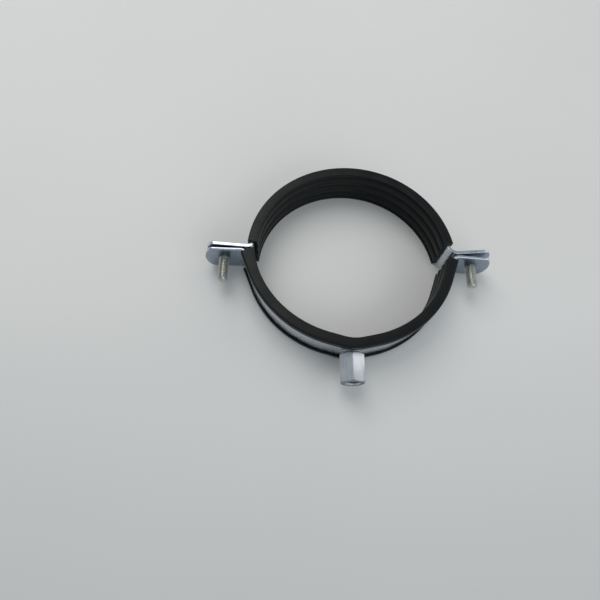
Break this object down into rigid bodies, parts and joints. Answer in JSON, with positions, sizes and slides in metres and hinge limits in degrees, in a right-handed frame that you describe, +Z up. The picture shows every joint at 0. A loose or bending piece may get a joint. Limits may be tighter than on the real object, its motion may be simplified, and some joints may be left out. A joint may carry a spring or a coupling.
{
  "type": "pipe clamp",
  "caption": "Split steel pipe clamp with ribbed rubber linings, paired screw ears and a threaded hexagon hanger nut.",
  "frame": {"origin": "middle of the clamp's bounding box, on the surface that it lies flat on", "axes": "+X from ear to ear, +Y away from the hanger nut, +Z up along the pipe's axis"},
  "size_m": [0.1677, 0.1316, 0.024],
  "materials": {
    "zinc_strip": "bright zinc plating on pressed strip, slightly blue",
    "black_rubber": "satin extruded rubber",
    "zinc_nut": "bright zinc plating on a drawn hexagon",
    "weld_metal": "plated weld upset, rough",
    "zinc_screw": "zinc plating with a faint yellow-green passivate"
  },
  "bodies": {
    "lower_half": {"lower_band": "zinc_strip", "lower_lining": "black_rubber", "hanger_nut": "zinc_nut", "nut_weld": "weld_metal"},
    "upper_half": {"upper_band": "zinc_strip", "upper_lining": "black_rubber"},
    "left_ear_screw": {"left_screw": "zinc_screw"},
    "right_ear_screw": {"right_screw": "zinc_screw"}
  },
  "joints": [
    {"name": "upper_lift", "type": "slide", "parent": "lower_half", "child": "upper_half", "axis": [0, 1, 0], "range_m": [0, 0.013]},
    {"name": "left_screw_turn", "type": "hinge", "parent": "upper_half", "child": "left_ear_screw", "pos_m": [-0.0731, 0, 0.012], "axis": [0, 1, 0], "range_deg": [0, 4680]},
    {"name": "right_screw_turn", "type": "hinge", "parent": "upper_half", "child": "right_ear_screw", "pos_m": [0.0725, 0, 0.012], "axis": [0, 1, 0], "range_deg": [0, 4680]}
  ],
  "couplings": [
    {"joint": "left_screw_turn", "follows": "upper_lift", "rad_per_m": 6283.2},
    {"joint": "right_screw_turn", "follows": "upper_lift", "rad_per_m": 6283.2}
  ]
}
